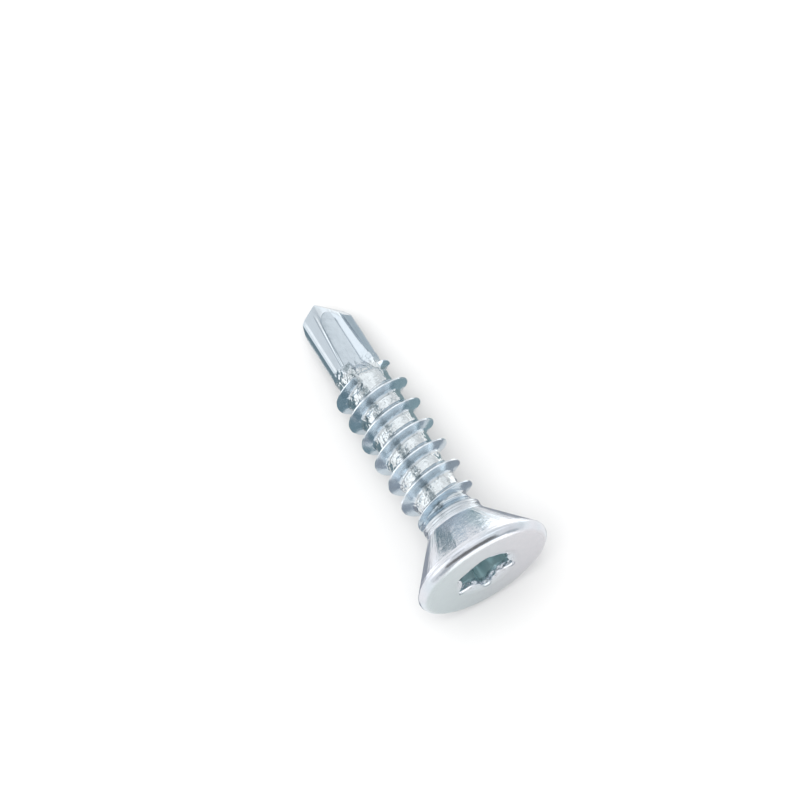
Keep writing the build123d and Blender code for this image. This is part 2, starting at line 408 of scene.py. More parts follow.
def pointHeights():  # where each column ends on one of the two point facets
    z = np.full(halfTurn, apex - 0.5)
    for _ in range(40):
        across, up = fluteOutline(z)
        z = apex - np.abs(pointSlope * across - reliefSlope * up)
    z[wallEnd] = apex
    return z


def bothHalves(across, up, z):
    z = np.broadcast_to(z, halfTurn)
    half = np.stack([up, -across, z], 1)
    return np.vstack([half, half * (-1, -1, 1)])


def drillRings():
    top = pointHeights()
    start = fluteEnd + 0.02
    tipStart = np.minimum(apex - drill["thinnedLength"], spread(start, top, 0.87))
    rings = []
    for share in np.linspace(0, 1, drill["rows"] + 1):
        z = spread(start, tipStart, share)
        rings.append(bothHalves(*fluteOutline(z), z))
    for share in np.linspace(0, 1, drill["tipRows"] + 1)[1:]:
        z = spread(tipStart, top, share)
        rings.append(bothHalves(*fluteOutline(z), z))
    return rings


def threadRings():
    heights, splits = threadHeights()
    across, up = fluteOutline(np.full(halfTurn, fluteEnd))
    floor = bothHalves(across, up, fluteEnd)
    onRamp = np.tile((across < 0) & (np.arange(halfTurn) <= heelEnd), 2)
    sector = np.mod(columnAngles + 0.5, np.pi) - 0.5
    wiped = np.where(sector <= heelAngle + 0.001, np.clip((sector + 0.2) / 0.2, 0, 1), 0)
    wipeEnd = fluteEnd - drill["runOutLength"] + drill["wipeOverlap"]
    rings, masks = [], []
    for row in heights:
        place = ringAt(blankRadius(row), row)
        sunk = np.clip(1 - (fluteEnd - row) / drill["runOutLength"], 0, 1) * onRamp
        place[:, :2] += (floor[:, :2] - place[:, :2]) * sunk[:, None]
        rings.append(place)
        gone = wiped * ((row > wipeEnd - drill["wipeWidth"]) & (row < wipeEnd))
        masks.append(1.0 - np.maximum(gone, sunk > 0))
    return rings, masks, splits


def makeScrewMesh():
    headPart = recessRings() + headRings()
    threadPart, threadMasks, splits = threadRings()
    drillPart = drillRings()
    rings = headPart + threadPart + drillPart
    places = [[0, 0, recess["depth"] + recess["acrossPoints"] / 2
               / tan(radians(recess["floorAngle"] / 2))]]
    places = np.vstack([places] + rings)
    ridgeMask = np.zeros(len(places), np.float32)
    first = 1 + columns * len(headPart)
    ridgeMask[first:first + columns * len(threadPart)] = np.concatenate(threadMasks)

    faces = [(0, 1 + (i + 1) % columns, 1 + i) for i in range(columns)]
    for row in range(len(rings) - 1):
        base = 1 + row * columns
        for i in range(columns):
            j = (i + 1) % columns
            a, b, c, d = base + i, base + j, base + columns + j, base + columns + i
            split = splits.get((row - len(headPart), i))
            if split == "rising":
                faces += [(a, b, c), (a, c, d)]
            elif split == "falling":
                faces += [(a, b, d), (b, c, d)]
            else:
                faces.append((a, b, c, d))
    last = 1 + (len(rings) - 1) * columns      # two facets meet in the chisel edge
    near, far = wallEnd, wallEnd + halfTurn
    faces.append(tuple(last + i for i in range(near, far + 1)))
    faces.append(tuple(last + i % columns for i in range(far, near + columns + 1)))

    mesh = bpy.data.meshes.new("selfDrillingScrew")
    mesh.from_pydata(places.tolist(), [], faces)
    mesh.attributes.new("ridgeMask", "FLOAT", "POINT").data.foreach_set("value", ridgeMask)
    mesh.validate()
    return mesh


# Geometry Nodes: the rolled thread, and the marks of forging and rolling.

class Board:  # a node tree being wired, with short calls for its nodes
    def __init__(self, tree):
        self.tree = tree

    def node(self, kind, inputs=None, **settings):
        made = self.tree.nodes.new(kind)
        for name, value in settings.items():
            setattr(made, name, value)
        for name, value in (inputs or {}).items():
            self.join(value, made.inputs[name])
        return made

    def join(self, value, socket):
        if isinstance(value, bpy.types.NodeSocket):
            self.tree.links.new(value, socket)
        else:
            socket.default_value = value

    def calc(self, operation, *values, clamp=False):
        made = self.node("ShaderNodeMath", operation=operation, use_clamp=clamp)
        for number, value in enumerate(values):
            self.join(value, made.inputs[number])
        return made.outputs[0]

    def sum(self, *values):
        total = values[0]
        for value in values[1:]:
            total = self.calc("ADD", total, value)
        return total

    def product(self, *values):
        total = values[0]
        for value in values[1:]:
            total = self.calc("MULTIPLY", total, value)
        return total

    def ramp(self, value, low, high):  # 0 below low, 1 above high, smooth between
        made = self.node("ShaderNodeMapRange", interpolation_type="SMOOTHSTEP")
        for name, entry in (("Value", value), ("From Min", low), ("From Max", high)):
            self.join(entry, made.inputs[name])
        return made.outputs[0]


def newShapeTree(name, sizes):
    tree = bpy.data.node_groups.new(name, "GeometryNodeTree")
    face = tree.interface
    face.new_socket("Geometry", in_out="INPUT", socket_type="NodeSocketGeometry")
    for label in sizes:
        kind = "NodeSocketMaterial" if label == "Material" else "NodeSocketFloat"
        face.new_socket(label, in_out="INPUT", socket_type=kind)
    face.new_socket("Geometry", in_out="OUTPUT", socket_type="NodeSocketGeometry")
    board = Board(tree)
    board.entry = board.node("NodeGroupInput").outputs
    board.exit = board.node("NodeGroupOutput").inputs
    return board


def finishShapeTree(board, geometry):  # instances made real, then the finish
    real = board.node("GeometryNodeRealizeInstances", {"Geometry": geometry})
    painted = board.node("GeometryNodeSetMaterial", {
        "Geometry": real.outputs[0], "Material": board.entry["Material"]})
    board.join(painted.outputs[0], board.exit["Geometry"])


def applyShapeTree(piece, board, sizes):
    modifier = piece.modifiers.new(board.tree.name, "NODES")
    modifier.node_group = board.tree
    for item in board.tree.interface.items_tree:
        if item.in_out == "INPUT" and item.name in sizes:
            modifier[item.identifier] = sizes[item.name]
    bpy.context.view_layer.update()
    evaluated = piece.evaluated_get(bpy.context.evaluated_depsgraph_get())
    mesh = bpy.data.meshes.new_from_object(evaluated)
    piece.modifiers.remove(modifier)
    piece.data = mesh


def storeNumber(board, geometry, name, value, kind="FLOAT"):
    store = board.node("GeometryNodeStoreNamedAttribute", data_type=kind, domain="POINT")
    board.join(geometry, store.inputs["Geometry"])
    store.inputs["Name"].default_value = name
    board.join(value, store.inputs["Value"])
    return store.outputs[0]


def readNumber(board, name):
    read = board.node("GeometryNodeInputNamedAttribute", data_type="FLOAT")
    read.inputs["Name"].default_value = name
    return read.outputs[0]


rolling = {
    "Core Radius": rootRadius,
    "Crest Radius": threadRadius,
    "Buried Radius": buriedRadius,
    "Knee Radius": rootRadius + thread["footHeight"],
    "First Crest Radius": neckTopRadius - thread["crestBury"],
    "Last Crest Radius": rootRadius - thread["crestBury"],
    "Pitch": thread["pitch"],
    "Start": thread["startFromFace"],
    "Start Angle": thread["startAngle"],
    "Turns": turns,
    "Crest Half Width": thread["crestWidth"] / 2,
    "Head Flank": tan(radians(thread["headFlank"])),
    "Tip Flank": tan(radians(thread["tipFlank"])),
    "Foot Flank": tan(radians(thread["footFlank"])),
    "Fade In": 360 * thread["fadeInTurns"],
    "Fade In Bulge": thread["fadeInBulge"],
    "Fade Out": 360 * thread["fadeOutTurns"],
    "Material": None,
}


def threadRollingTree():  # raises the helical ridge out of the turned blank
    board = newShapeTree("threadRolling", rolling)
    calc, entry = board.calc, board.entry
    place = board.node("ShaderNodeSeparateXYZ", {
        "Vector": board.node("GeometryNodeInputPosition").outputs[0]})
    x, y, z = place.outputs
    radius = calc("SQRT", calc("ADD", calc("MULTIPLY", x, x), calc("MULTIPLY", y, y)))
    turned = calc("DEGREES", calc("ARCTAN2", y, x))
    turned = calc("FLOORED_MODULO", calc("SUBTRACT", turned, entry["Start Angle"]), 360.0)
    climbed = calc("DIVIDE", calc("SUBTRACT", z, entry["Start"]), entry["Pitch"])
    nearest = calc("ROUND", calc("SUBTRACT", climbed, calc("DIVIDE", turned, 360.0)))
    angle = calc("ADD", turned, calc("MULTIPLY", nearest, 360.0))
    left = calc("SUBTRACT", calc("MULTIPLY", entry["Turns"], 360.0), angle)
    present = calc("MULTIPLY", calc("GREATER_THAN", angle, 0.0), calc("GREATER_THAN", left, 0.0))

    grown = calc("MINIMUM", 1.0, calc("DIVIDE", angle, entry["Fade In"]))
    slower = calc("MULTIPLY", entry["Fade In Bulge"], calc("SUBTRACT", 1.0, grown))
    rise = calc("MULTIPLY", grown, calc("ADD", 1.0, slower))
    sunk = calc("SUBTRACT", 1.0, calc("MINIMUM", 1.0, calc("DIVIDE", left, entry["Fade Out"])))
    fall = calc("SUBTRACT", 1.0, calc("MULTIPLY", sunk, sunk))
    full = entry["Crest Radius"]
    ends = []
    for first, share in ((entry["First Crest Radius"], rise), (entry["Last Crest Radius"], fall)):
        ends.append(calc("ADD", first, calc("MULTIPLY", calc("SUBTRACT", full, first), share)))
    crest = calc("MINIMUM", *ends)
    buried = entry["Buried Radius"]
    size = calc("DIVIDE", calc("SUBTRACT", crest, buried), calc("SUBTRACT", full, buried))

    middle = calc("ADD", entry["Start"], calc("MULTIPLY", entry["Pitch"],
                                              calc("DIVIDE", angle, 360.0)))
    offset = calc("DIVIDE", calc("SUBTRACT", z, middle), size)
    towardsTip = calc("GREATER_THAN", offset, 0.0)
    flank = calc("ADD", entry["Head Flank"], calc("MULTIPLY", towardsTip, calc(
        "SUBTRACT", entry["Tip Flank"], entry["Head Flank"])))
    knee = calc("ADD", entry["Crest Half Width"], calc("MULTIPLY", flank, calc(
        "SUBTRACT", full, entry["Knee Radius"])))
    inside = calc("SUBTRACT", knee, calc("ABSOLUTE", offset))
    sides = [calc("ADD", entry["Knee Radius"], calc("DIVIDE", inside, slope))
             for slope in (flank, entry["Foot Flank"])]
    profile = calc("MINIMUM", full, calc("MAXIMUM", *sides))
    ridge = calc("ADD", buried, calc("MULTIPLY", calc("SUBTRACT", profile, buried), size))
    allowed = calc("MULTIPLY", present, readNumber(board, "ridgeMask"))
    raised = calc("MAXIMUM", radius, calc("MULTIPLY", ridge, allowed))
    scale = calc("DIVIDE", raised, calc("MAXIMUM", radius, 0.000001))
    moved = board.node("ShaderNodeCombineXYZ", {
        "X": calc("MULTIPLY", x, scale), "Y": calc("MULTIPLY", y, scale), "Z": z})

    height = calc("DIVIDE", calc("SUBTRACT", raised, entry["Core Radius"]),
                  calc("SUBTRACT", full, entry["Core Radius"]))
    geometry = board.entry["Geometry"]
    geometry = storeNumber(board, geometry, "fromCrest", calc("MULTIPLY", offset, size))
    geometry = storeNumber(board, geometry, "ridgeHeight", calc(
        "MULTIPLY", height, readNumber(board, "ridgeMask"), clamp=True))
    geometry = board.node("GeometryNodeSetPosition", {
        "Geometry": geometry, "Position": moved.outputs[0]}).outputs[0]
    finishShapeTree(board, geometry)
    return board


marks = {
    "Root Crinkle": 0.085,      # millimetres, as are all amounts here
    "Root Scale": 3.0,
    "Crest Wear": 0.05,
    "Crest Scale": 1.6,
    "Drill Waviness": 0.018,
    "Seam Depth": 0.035,        # rolling seam along the roots
    "Run-out Lumps": 0.11,
    "Lump Scale": 3.3,
    "Rim Waviness": 0.016,
    "Recess Burrs": 0.06,
    "Seed": 7.0,
    "Material": None,
}


def forgingMarksTree():  # crinkled roots, worn crests, slight waviness of the drill
    board = newShapeTree("forgingMarks", marks)
    calc, entry = board.calc, board.entry
    position = board.node("GeometryNodeInputPosition").outputs[0]
    normal = board.node("GeometryNodeInputNormal").outputs[0]
    x, y, z = board.node("ShaderNodeSeparateXYZ", {"Vector": position}).outputs
    mask = readNumber(board, "ridgeMask")
    height = readNumber(board, "ridgeHeight")

    def noise(scale, detail, seed):
        made = board.node("ShaderNodeTexNoise", noise_dimensions="4D")
        for name, value in (("Vector", position), ("W", seed), ("Scale", scale),
                            ("Detail", detail), ("Roughness", 0.6)):
            board.join(value, made.inputs[name])
        return calc("SUBTRACT", made.outputs[0], 0.5)

    seed = entry["Seed"]
    low = board.ramp(height, 0.35, 0.05)
    rough = board.ramp(y, 0.25, -0.25)  # one side of the roots is smoother
    crinkle = board.product(noise(entry["Root Scale"], 1.5, seed), entry["Root Crinkle"],
                            low, mask, board.sum(1.0, rough))
    top = board.ramp(height, 0.75, 0.98)
    wear = calc("MINIMUM", 0.0, board.product(
        noise(entry["Crest Scale"], 2.0, calc("ADD", seed, 3.0)), entry["Crest Wear"], top, 2.0))
    angle = calc("ARCTAN2", y, x)
    astray = calc("MULTIPLY", noise(3.0, 3.0, calc("ADD", seed, 9.0)), 0.8)
    fromSeam = calc("ABSOLUTE", board.sum(angle, radians(11), astray))
    seamShare = board.product(board.ramp(fromSeam, 0.2, 0.04), low, mask)
    seam = board.product(seamShare, entry["Seam Depth"], -1.0)
    lumps = board.product(
        noise(entry["Lump Scale"], 2.0, calc("ADD", seed, 11.0)), entry["Run-out Lumps"], 2.0,
        board.ramp(z, fluteEnd - 1.25, fluteEnd - 0.9), board.ramp(z, fluteEnd + 0.3, fluteEnd))
    radius = calc("SQRT", board.sum(calc("MULTIPLY", x, x), calc("MULTIPLY", y, y)))
    rim = board.product(
        noise(1.3, 2.0, calc("ADD", seed, 13.0)), entry["Rim Waviness"], 2.0,
        board.ramp(radius, 3.55, 3.75), board.ramp(z, 0.08, 0.2))
    rim = calc("MINIMUM", 0.0, calc("SUBTRACT", rim, calc("MULTIPLY", entry["Rim Waviness"], 0.4)))
    burrs = board.product(
        noise(2.8, 2.0, calc("ADD", seed, 15.0)), entry["Recess Burrs"], 2.0,
        board.ramp(radius, 2.0, 1.9), board.ramp(z, 0.12, 0.25), board.ramp(z, 0.8, 0.5))
    onDrill = board.ramp(z, fluteEnd - 0.6, fluteEnd + 0.3)
    wavy = board.product(noise(1.1, 2.0, calc("ADD", seed, 5.0)), entry["Drill Waviness"],
                         onDrill, 2.0, board.ramp(z, apex - 0.2, apex - 0.8))
    shift = board.sum(crinkle, wear, wavy, seam, lumps, rim, burrs)
    offset = board.node("ShaderNodeVectorMath", operation="SCALE")
    board.join(normal, offset.inputs[0])
    board.join(shift, offset.inputs["Scale"])
    geometry = board.node("GeometryNodeSetPosition", {
        "Geometry": entry["Geometry"], "Offset": offset.outputs[0]}).outputs[0]
    place = board.node("GeometryNodeInputPosition").outputs[0]
    geometry = storeNumber(board, geometry, "screwPlace", place, "FLOAT_VECTOR")
    geometry = storeNumber(board, geometry, "seam", seamShare)
    finishShapeTree(board, geometry)
    return board


# Finish: bright zinc, hammered in the roots, smooth on the flanks, with painted highlights,
# painted shade and a painted reflection.

zinc = {
    "plain": (0.66, 0.72, 0.77),
    "warmPlain": (0.70, 0.715, 0.76),
    # painted shade: head-facing flanks darker and bluer than the plain zinc
    "headFlank": (0.60, 0.69, 0.76),
    # painted highlight: crests lighter than the plain zinc
    "crest": (0.74, 0.79, 0.83),
    "drill": (0.53, 0.585, 0.63),
    "neck": (0.60, 0.635, 0.67),
    # painted shade: roots darker than the plain zinc
    "root": (0.635, 0.67, 0.685),
    # painted highlight colour for the flutes' corner, the strip and the thinned web
    "paintedHighlight": (0.80, 0.85, 0.88),
    # painted shade colour for the dark lines in the flutes
    "paintedShadeLine": (0.27, 0.32, 0.36),
    # painted shade colour for crevices in the roots and along the seam
    "paintedShade": (0.20, 0.25, 0.27),
    # painted reflection: one side of the face lighter and pinker than the other
    "faceOneSide": (0.60, 0.595, 0.625),
    "faceOtherSide": (0.52, 0.58, 0.595),
    # painted shade and greenish light deep in the recess
    "recess": (0.49, 0.63, 0.65),
    "roughness": 0.22,
    "rootRoughness": 0.10,
    "faceRoughness": 0.34,
}

lines = {                       # painted highlight and painted shade lines in the flutes, drawn by colour, in millimetres
    "aboveCorner": 0.07,        # painted shade lines on both sides of the painted highlight along the corner
    "belowCorner": 0.09,
    "stripMiddle": 0.98,        # painted highlight strip beside the cutting edge
    "stripShare": 0.8,
    "lineShare": 0.8,
    "webShare": 0.6,            # strength of the painted highlight on the thinned web
}


def zincFinish():
    material = bpy.data.materials.new("brightZinc")
    material.use_nodes = True
    board = Board(material.node_tree)
    calc, ramp = board.calc, board.ramp
    shader = material.node_tree.nodes["Principled BSDF"]
    shader.inputs["Metallic"].default_value = 1.0

    def read(name, output="Fac"):
        return board.node("ShaderNodeAttribute", attribute_name=name).outputs[output]

    def noise(vector, scale, detail=3.0, roughness=0.6):
        made = board.node("ShaderNodeTexNoise", {
            "Vector": vector, "Scale": scale, "Detail": detail, "Roughness": roughness})
        return made.outputs[0]

    def mix(share, under, over):
        made = board.node("ShaderNodeMix", data_type="RGBA")
        board.join(share, made.inputs[0])
        for value, socket in ((under, made.inputs[6]), (over, made.inputs[7])):
            board.join((*value, 1) if isinstance(value, tuple) else value, socket)
        return made.outputs[2]

    place = read("screwPlace", "Vector")
    x, y, z = board.node("ShaderNodeSeparateXYZ", {"Vector": place}).outputs
    radius = calc("SQRT", calc("ADD", calc("MULTIPLY", x, x), calc("MULTIPLY", y, y)))
    height = read("ridgeHeight")
    fromCrest = read("fromCrest")
    roughSide = board.sum(0.55, board.product(ramp(y, 0.25, -0.25), 0.45))
    onThread = calc("MULTIPLY", ramp(z, 4.0, 4.4), ramp(z, 13.8, 13.4))
    root = board.product(ramp(height, 0.16, 0.04), onThread)
    flank = board.product(ramp(height, 0.04, 0.2), ramp(height, 0.97, 0.9),
                          ramp(fromCrest, 0.0, -0.03))
    crest = board.product(ramp(height, 0.04, 0.2), calc("SUBTRACT", 1.0, flank))
    inRecess = board.product(ramp(radius, 2.03, 1.99), ramp(z, 2.8, 2.6))
    deep = calc("MULTIPLY", inRecess, ramp(z, 0.42, 0.62))
    onCone = board.product(ramp(z, 0.7, 0.9), ramp(z, 3.6, 3.3),
                           calc("SUBTRACT", 1.0, inRecess))
    onNeck = calc("MULTIPLY", ramp(z, 3.1, 3.3), ramp(z, 4.7, 4.5))
    onFace = ramp(z, board.sum(0.13, board.product(ramp(radius, 2.3, 2.1), 0.07)), 0.02)

    blotch = noise(place, 0.35, 2.0)
    mottle = noise(place, 2.4, 3.0)
    hammered = noise(place, 3.6, 1.6, 0.5)
    colour = mix(ramp(blotch, 0.42, 0.6), zinc["plain"], zinc["warmPlain"])
    colour = mix(ramp(z, 13.5, 13.9), colour, zinc["drill"])
    # painted highlight and painted shade lines in the flutes, along the modelled step, strip and
    # front end
    across = calc("MULTIPLY", y, calc("SIGN", x))  # negative on both cutting walls
    onFlute = board.product(ramp(z, fluteEnd + 0.05, fluteEnd + 0.2),
                            ramp(z, apex - 0.55, apex - 0.95),
                            ramp(radius, drillRadius - 0.02, drillRadius - 0.04))
    alongFlute = calc("DIVIDE", calc("SUBTRACT", z, fluteEnd), drill["fluteLength"])
    corner = calc("ADD", drill["cornerAtShank"], calc(
        "MULTIPLY", alongFlute, drill["cornerAtTip"] - drill["cornerAtShank"]))
    fromCorner = calc("ADD", across, corner)
    aside = calc("SUBTRACT", -drill["thinnedMiddle"], across)
    curve = board.sum(drill["thinnedCurve"], board.product(
        calc("GREATER_THAN", aside, 0.0), drill["thinnedWallCurve"] - drill["thinnedCurve"]))
    front = calc("SUBTRACT", apex - drill["thinnedLength"], board.product(aside, aside, curve))
    floorEdge = calc("MINIMUM", calc("SUBTRACT", fromCorner, lines["aboveCorner"]),
                     calc("SUBTRACT", front, z))
    belowLine = calc("ABSOLUTE", calc("ADD", fromCorner, lines["belowCorner"]))
    # painted shade lines on both sides of the corner line and along the front end
    paintedShadeLine = calc("MAXIMUM", ramp(belowLine, 0.04, 0.02), board.product(
        ramp(calc("ABSOLUTE", floorEdge), 0.04, 0.015), ramp(across, 0.30, 0.20)))
    # painted highlight on the thinned web near the point
    thinnedWeb = board.product(
        ramp(calc("SUBTRACT", z, front), 0.0, 0.06), ramp(across, -0.2, 0.0),
        ramp(z, 15.0, 15.4), ramp(radius, drillRadius - 0.04, 1.2))
    colour = mix(board.product(thinnedWeb, lines["webShare"]), colour, zinc["paintedHighlight"])
    colour = mix(board.product(paintedShadeLine, onFlute, lines["lineShare"]), colour, zinc["paintedShadeLine"])
    onStrip = calc("ABSOLUTE", calc("ADD", across, lines["stripMiddle"]))
    # painted highlight along the corner and on the strip beside the cutting edge
    paintedHighlight = calc("MAXIMUM", ramp(calc("ABSOLUTE", fromCorner), 0.06, 0.03), board.product(
        ramp(onStrip, 0.08, 0.04), ramp(z, apex - 0.6, apex - 1.4), lines["stripShare"]))
    colour = mix(board.product(paintedHighlight, onFlute, lines["lineShare"]), colour,
                 zinc["paintedHighlight"])
    colour = mix(onNeck, colour, zinc["neck"])
    # painted shade in the roots
    colour = mix(root, colour, zinc["root"])
    # painted shade on the head-facing flanks
    colour = mix(flank, colour, zinc["headFlank"])
    # painted highlight on the crests
    colour = mix(crest, colour, zinc["crest"])
    # painted shade in the crevices of the hammered roots, more on the rough side
    pitShade = board.product(ramp(noise(place, 3.4, 3.0, 0.65), 0.40, 0.32), root, roughSide, 0.85)
    colour = mix(pitShade, colour, zinc["paintedShade"])
    # painted shade along the rolling seam groove
    seam = board.product(read("seam"), ramp(noise(place, 4.0, 3.0, 0.7), 0.38, 0.52), 0.9)
    colour = mix(seam, colour, zinc["paintedShade"])
    # painted reflection across the face, lighter and pinker towards +y
    face = mix(ramp(y, 3.0, -3.0), zinc["faceOneSide"], zinc["faceOtherSide"])
    colour = mix(onFace, colour, face)
    # painted shade and greenish light deep in the recess
    colour = mix(deep, colour, zinc["recess"])
    dull = board.product(ramp(mottle, 0.62, 0.34), 0.16)
    colour = mix(dull, colour, (0.42, 0.46, 0.50))
    board.join(colour, shader.inputs["Base Color"])

    rough = calc("ADD", zinc["roughness"], calc("MULTIPLY", calc("SUBTRACT", mottle, 0.5), 0.14))
    rough = calc("ADD", rough, calc("MULTIPLY", root, zinc["rootRoughness"] - zinc["roughness"]))
    rough = calc("ADD", rough, calc("MULTIPLY", onCone, -0.06))
    flat = ramp(z, board.sum(0.02, board.product(ramp(radius, 2.3, 2.1), 0.18)), 0.004)
    rough = calc("ADD", rough, calc("MULTIPLY", flat, zinc["faceRoughness"] - zinc["roughness"]))
    board.join(rough, shader.inputs["Roughness"])
    board.join(calc("SUBTRACT", 1.0, calc("MULTIPLY", deep, 0.36)), shader.inputs["Metallic"])

    around = board.node("ShaderNodeCombineXYZ", {
        "X": calc("MULTIPLY", calc("DIVIDE", x, radius), 9.0),
        "Y": calc("MULTIPLY", calc("DIVIDE", y, radius), 9.0),
        "Z": calc("MULTIPLY", z, 0.4)}).outputs[0]
    streaks = noise(around, 1.0, 3.0)
    grain = noise(place, 16.0, 2.0)
    rings = noise(board.node("ShaderNodeCombineXYZ", {"Z": z}).outputs[0], 7.0, 2.0)
    relief = board.sum(
        calc("MULTIPLY", grain, 0.10),
        board.product(hammered, root, roughSide, 3.2),
        board.product(hammered, calc("SUBTRACT", inRecess, deep), ramp(z, 0.08, 0.22), 5.0),
        board.product(mottle, calc("SUBTRACT", 1.0, root), 0.5),
        board.product(streaks, onCone, 1.5),
        board.product(rings, onNeck, 3.0))
    bump = board.node("ShaderNodeBump")
    bump.inputs["Strength"].default_value = 1.0
    bump.inputs["Distance"].default_value = 0.000028
    board.join(relief, bump.inputs["Height"])
    board.join(bump.outputs[0], shader.inputs["Normal"])
    return material


# The screw lies on its head rim and its last full crest.

lying = {
    "sideDown": 186.0,          # degrees about the screw's axis
    "sunkShare": 0.7,           # of the fade-out, where the crest is too low to rest on
}


def layDown(mesh):
    pitch = thread["pitch"]
    firstCrest = thread["startFromFace"] + pitch * (
        lying["sideDown"] - thread["startAngle"]) / 360
    fullTurns = turns - lying["sunkShare"] * thread["fadeOutTurns"]
    lastFull = thread["startFromFace"] + pitch * fullTurns
    crest = firstCrest + int((lastFull - firstCrest) / pitch) * pitch + thread["crestWidth"] / 2
    lean = atan2(headRadius - threadRadius, crest - head["rimHeight"])
    upX, upY = -cos(radians(lying["sideDown"])), -sin(radians(lying["sideDown"]))
    xAxis = Vector((upX * sin(lean), upY, upX * cos(lean)))
    zAxis = Vector((cos(lean), 0, -sin(lean)))
    turn = Matrix((xAxis, zAxis.cross(xAxis), zAxis)).transposed().to_4x4()
    mesh.transform(Matrix.Scale(millimetre, 4) @ turn)
    xs = np.array([v.co.x for v in mesh.vertices])
    low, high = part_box("screw")
    floor = (headRadius * cos(lean) + head["rimHeight"] * sin(lean)) * millimetre
    move = Vector((low.x - xs.min(), 0, floor))
    mesh.transform(Matrix.Translation(move))
    return move


print("building the screw")
screwMesh = makeScrewMesh()
screw = bpy.data.objects.new("selfDrillingScrew", screwMesh)
bpy.context.scene.collection.objects.link(screw)
finish = zincFinish()
rolling["Material"] = marks["Material"] = finish
print("rolling the thread")
applyShapeTree(screw, threadRollingTree(), rolling)
print("marks of forging and rolling")
applyShapeTree(screw, forgingMarksTree(), marks)
faceCentre = layDown(screw.data)
screw.data.polygons.foreach_set("use_smooth", [True] * len(screw.data.polygons))
screw.data.set_sharp_from_angle(angle=radians(27))
screw.data.update()

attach(screw, "root")
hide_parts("screw")

# Studio: a pale floor, soft light from all round, and the camera.

studio = {
    "floorColour": (0.76, 0.748, 0.737, 1.0),
    "floorSize": 1.2,
    "skyColour": (0.90, 0.92, 0.94),
    "skyStrength": 1.0,
    "patches": {                # soft bright and dark fields in the sky: towards, inner
                                # and outer angle, added strength, colour
        "sideWindow": ((0.39, 0.87, 0.31), 16, 32, 0.66, (1.0, 1.0, 1.0)),
        "floorLight": ((0.52, 0.06, 0.85), 12, 32, 0.35, (1.0, 1.0, 1.0)),
        "stepLight": ((0.46, -0.50, 0.73), 9, 17, 0.45, (1.0, 1.0, 1.0)),
        "wallLight": ((0.41, -0.80, 0.44), 8, 16, 0.22, (1.0, 1.0, 1.0)),
        "tipWindow": ((0.97, 0.1, 0.24), 12, 26, 0.35, (1.0, 1.0, 1.0)),
        "seam": ((0.46, 0.40, 0.79), 6, 15, -0.62, (1.0, 0.94, 0.92)),
        "headSide": ((-0.75, -0.62, 0.20), 8, 26, -0.40, (1.0, 0.94, 0.92)),
        "otherHeadSide": ((-0.75, 0.62, 0.20), 8, 26, -0.40, (1.0, 0.94, 0.92)),
    },
    "cards": {                  # cards beside the screw, seen only in the metal: corner, one
                                # edge, the other edge, glow
        "nearDrill": ((0.0046, 0.002, 0.0002), (0.0049, 0, 0), (0, 0.0022, 0.002),
                      (0.26, 0.35, 0.39)),
        "farDrill": ((0.0046, -0.002, 0.0002), (0.0049, 0, 0), (0, -0.0022, 0.002),
                     (0.58, 0.66, 0.71)),
        "nearThread": ((-0.0012, 0.002, 0.0002), (0.0058, 0, 0), (0, 0.0022, 0.002),
                       (0.22, 0.31, 0.35)),
        "farThread": ((-0.0012, -0.002, 0.0002), (0.0058, 0, 0), (0, -0.0022, 0.002),
                      (0.30, 0.40, 0.43)),
        "nearHead": ((-0.0085, 0.0024, 0.0002), (0.0059, 0, 0), (0, 0.0031, 0.0001),
                     (0.34, 0.37, 0.42)),
        "farHead": ((-0.0085, -0.0055, 0.0002), (0.0059, 0, 0), (0, 0.0031, 0),
                    (0.36, 0.39, 0.43)),
        "coneStrip": ((-0.003, -0.0135, 0.0002), (0.017, 0, 0), (0, 0.0073, 0),
                      (1.8, 1.8, 1.8)),
        "coneStreak": ((-0.003, 0.0058, 0.0002), (0.006, 0, 0), (0, 0.0014, 0),
                       (1.9, 1.9, 2.0)),
        "rimShade": ((-0.00934, -0.0022, 0.00841), (0, 0.0064, 0), (0.00104, 0, 0.00082),
                     (0.20, 0.20, 0.20)),
        "rimShine": ((-0.016, -0.007, 0.0025), (0, 0.0110, 0), (0, 0, 0.0072),
                     (1.8, 1.8, 1.8)),
    },
    "fill": 1.7,                # light for the floor alone
}


def makeFloor():
    size = studio["floorSize"] / 2
    mesh = bpy.data.meshes.new("paleFloor")
    mesh.from_pydata([(-size, -size, 0), (size, -size, 0), (size, size, 0), (-size, size, 0)],
                     [], [(0, 1, 2, 3)])
    floor = bpy.data.objects.new("paleFloor", mesh)
    bpy.context.scene.collection.objects.link(floor)
    paint = bpy.data.materials.new("paleFloor")
    paint.use_nodes = True
    shader = paint.node_tree.nodes["Principled BSDF"]
    shader.inputs["Base Color"].default_value = studio["floorColour"]
    shader.inputs["Roughness"].default_value = 0.8
    mesh.materials.append(paint)


def makeCard(name, corner, along, up, colour):
    corner, along, up = Vector(corner), Vector(along), Vector(up)
    mesh = bpy.data.meshes.new(name)
    mesh.from_pydata([corner, corner + along, corner + along + up, corner + up], [],
                     [(0, 1, 2, 3)])
    card = bpy.data.objects.new(name, mesh)
    bpy.context.scene.collection.objects.link(card)
    paint = bpy.data.materials.new(name)
    paint.use_nodes = True
    nodes = paint.node_tree.nodes
    nodes.clear()
    glow = nodes.new("ShaderNodeEmission")
    glow.inputs["Color"].default_value = (*colour, 1)
    out = nodes.new("ShaderNodeOutputMaterial")
    paint.node_tree.links.new(glow.outputs[0], out.inputs["Surface"])
    mesh.materials.append(paint)
    card.visible_camera = card.visible_diffuse = card.visible_shadow = False


